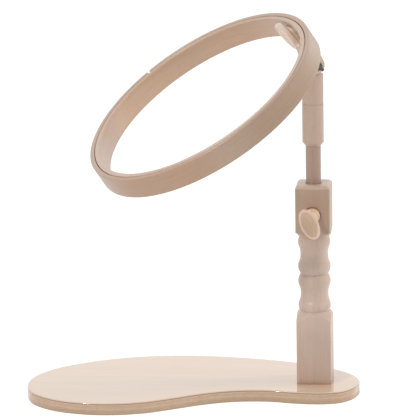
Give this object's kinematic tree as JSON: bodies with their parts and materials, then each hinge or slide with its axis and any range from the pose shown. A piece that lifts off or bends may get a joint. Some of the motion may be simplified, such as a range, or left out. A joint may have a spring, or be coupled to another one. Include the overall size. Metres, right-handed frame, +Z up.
{
  "type": "embroidery seat stand",
  "caption": "Bean-shaped board to sit on with a turned post, a height rod and a double wooden hoop on a swivelling, tilting head.",
  "frame": {"origin": "on the underside of the board, under the axis of the post", "axes": "+Z up along the post's axis, +X to the right away from the lobe, +Y to the back, away from the height screw"},
  "size_m": [0.35, 0.2765, 0.4083],
  "materials": {
    "plywood": "clear varnish, glossy",
    "beech": "smooth, satin wax",
    "bentwood": "smooth, satin varnish",
    "dark_steel": "dark zinc",
    "brass": "plain turned brass"
  },
  "bodies": {
    "stand": {"base_board": "plywood", "post": "beech", "dowel_pin": "beech", "base_screw_1": "dark_steel", "base_screw_2": "dark_steel"},
    "height_rod": {"rod": "beech", "rod_sleeve": "beech"},
    "height_thumbscrew": {"height_screw": "beech"},
    "head": {"swivel_head": "beech", "eye_bolt": "dark_steel"},
    "hoop_arm": {"hoop_holder": "beech", "tilt_bolt": "dark_steel", "tilt_washer_near": "dark_steel", "tilt_washer_far": "dark_steel", "inner_hoop": "bentwood", "hoop_bolt": "dark_steel"},
    "tilt_nut": {"wing_nut": "dark_steel"},
    "hoop_thumbscrew": {"hoop_knob": "beech", "knob_insert": "brass"},
    "outer_ring": {"outer_hoop": "bentwood", "tension_lug_1": "dark_steel", "tension_lug_2": "dark_steel", "lug_rivet_1": "brass", "lug_rivet_2": "brass", "tension_nut": "brass"},
    "ring_screw": {"tension_screw": "brass"}
  },
  "joints": [
    {"name": "rod_height", "type": "slide", "parent": "stand", "child": "height_rod", "axis": [0, 0, 1], "range_m": [-0.04, 0.05]},
    {"name": "height_screw_turn", "type": "hinge", "parent": "stand", "child": "height_thumbscrew", "pos_m": [0, -0.05, 0.197], "axis": [0, -1, 0], "range_deg": [0, 450]},
    {"name": "head_swivel", "type": "hinge", "parent": "height_rod", "child": "head", "pos_m": [0, 0, 0.3137], "axis": [0, 0, 1], "continuous": true},
    {"name": "hoop_tilt", "type": "hinge", "parent": "head", "child": "hoop_arm", "pos_m": [0, 0, 0.3553], "axis": [0.503, -0.8643, 0], "range_deg": [-33.6, 50]},
    {"name": "wing_nut_turn", "type": "hinge", "parent": "hoop_arm", "child": "tilt_nut", "pos_m": [0.00754, -0.01296, 0.3553], "axis": [0.503, -0.8643, 0], "range_deg": [0, 450]},
    {"name": "hoop_knob_turn", "type": "hinge", "parent": "hoop_arm", "child": "hoop_thumbscrew", "pos_m": [-0.0252, -0.01466, 0.38816], "axis": [-0.7199, -0.419, -0.5534], "range_deg": [0, 450]},
    {"name": "outer_hoop_lift", "type": "slide", "parent": "hoop_arm", "child": "outer_ring", "axis": [-0.4783, -0.2784, 0.8329], "range_m": [0, 0.026]},
    {"name": "tension_screw_turn", "type": "hinge", "parent": "outer_ring", "child": "ring_screw", "pos_m": [-0.17653, 0.05774, 0.32546], "axis": [-0.7199, -0.419, -0.5534], "range_deg": [0, 450]}
  ]
}
